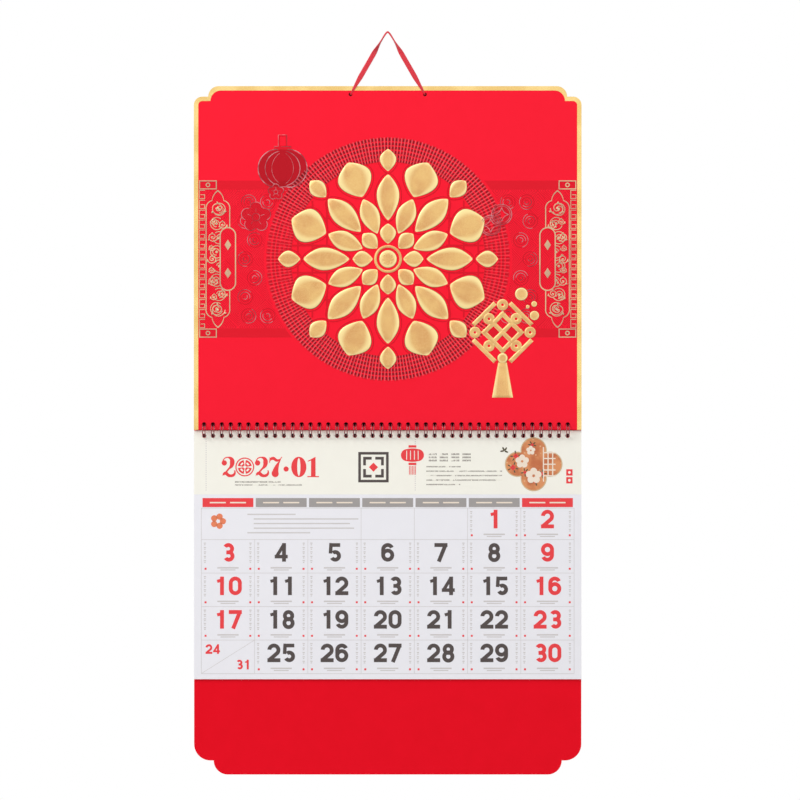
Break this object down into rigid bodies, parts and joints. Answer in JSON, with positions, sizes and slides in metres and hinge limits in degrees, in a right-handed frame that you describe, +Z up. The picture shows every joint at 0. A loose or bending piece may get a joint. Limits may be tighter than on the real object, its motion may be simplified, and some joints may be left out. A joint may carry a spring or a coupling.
{
  "type": "wall calendar",
  "caption": "Hanging wall calendar with an embossed header board, a pad of month sheets and a longer backing card on a row of twin wire loops, hung by a cord.",
  "frame": {"origin": "the underside of the hanging cord's crown, where it bears on its hook", "axes": "+X to the calendar's right as it is read, +Y into the wall, +Z up"},
  "size_m": [0.37, 0.0122, 0.71],
  "materials": {
    "red_board": "satin embossed paper wrap",
    "gold_foil": "hot stamped gold foil",
    "gold_relief": "raised gold relief, fine satin grain",
    "gold_line": "gold line work",
    "red_ribbon": "woven satin ribbon",
    "red_wire": "coated steel wire",
    "page_paper": "uncoated white paper",
    "cream_ink": "printed field",
    "red_ink": "printed field",
    "dark_ink": "printed field",
    "grey_ink": "printed field",
    "line_ink": "printed lines",
    "picture_ink": "printed field",
    "pale_ink": "printed field",
    "red_card": "smooth card"
  },
  "bodies": {
    "header": {"header_board": "red_board", "header_border": "gold_foil", "medallion": "gold_relief", "knot_and_coins": "gold_relief", "ornament_left": "gold_line", "ornament_right": "gold_line", "hang_cord": "red_ribbon", "cord_knot_left": "red_ribbon", "cord_knot_right": "red_ribbon", "binding_wire": "red_wire"},
    "month_pad": {"page_pad": "page_paper", "head_band": "cream_ink", "month_title": "red_ink", "month_emblem": "dark_ink", "red_marks": "red_ink", "picture_field": "picture_ink", "picture_blossoms": "pale_ink", "text_lines": "grey_ink", "weekday_bars_red": "red_ink", "weekday_bars_grey": "grey_ink", "grid_lines": "line_ink", "date_numbers_red": "red_ink", "date_numbers_dark": "dark_ink"},
    "card": {"backing_card": "red_card"}
  },
  "joints": [
    {"name": "pad_turn", "type": "hinge", "parent": "header", "child": "month_pad", "pos_m": [0, 0.0023, -0.37901], "axis": [-1, 0, 0], "range_deg": [0, 175]},
    {"name": "card_turn", "type": "hinge", "parent": "header", "child": "card", "pos_m": [0, 0.0023, -0.37901], "axis": [1, 0, 0], "range_deg": [0, 55]}
  ]
}
